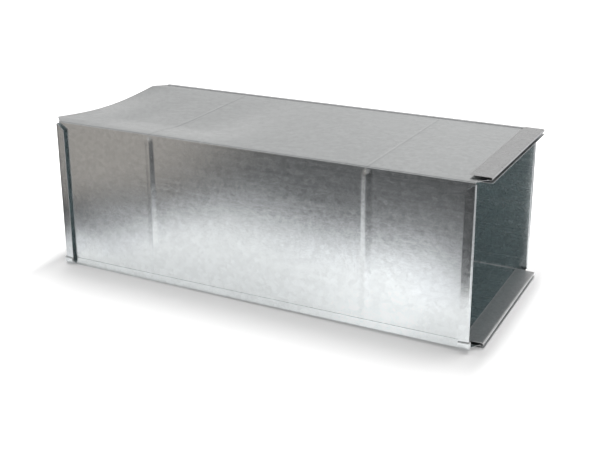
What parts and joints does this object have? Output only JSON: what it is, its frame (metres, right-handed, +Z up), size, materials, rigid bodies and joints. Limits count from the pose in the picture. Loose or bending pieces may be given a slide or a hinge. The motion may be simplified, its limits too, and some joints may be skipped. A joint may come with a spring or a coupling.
{
  "type": "rectangular duct section",
  "caption": "Straight rectangular sheet-steel air duct section with lock-seamed corners, stiffening beads, drive hems at its side panels' ends and S-cleats on one end.",
  "frame": {"origin": "on the floor, under the middle of the whole part's box", "axes": "+X along the duct towards the end with the S-cleats, -Y towards the front side panel, +Z up"},
  "size_m": [0.6128, 0.2656, 0.2107],
  "materials": {
    "duct_sheet": "hot-dip galvanised sheet, satin with a fine spangle",
    "cleat_sheet": "hot-dip galvanised strip, slightly duller than the panels"
  },
  "bodies": {
    "root": {"top_front_half": "duct_sheet", "bottom_back_half": "duct_sheet", "top_s_cleat": "cleat_sheet", "bottom_s_cleat": "cleat_sheet"}
  },
  "joints": []
}
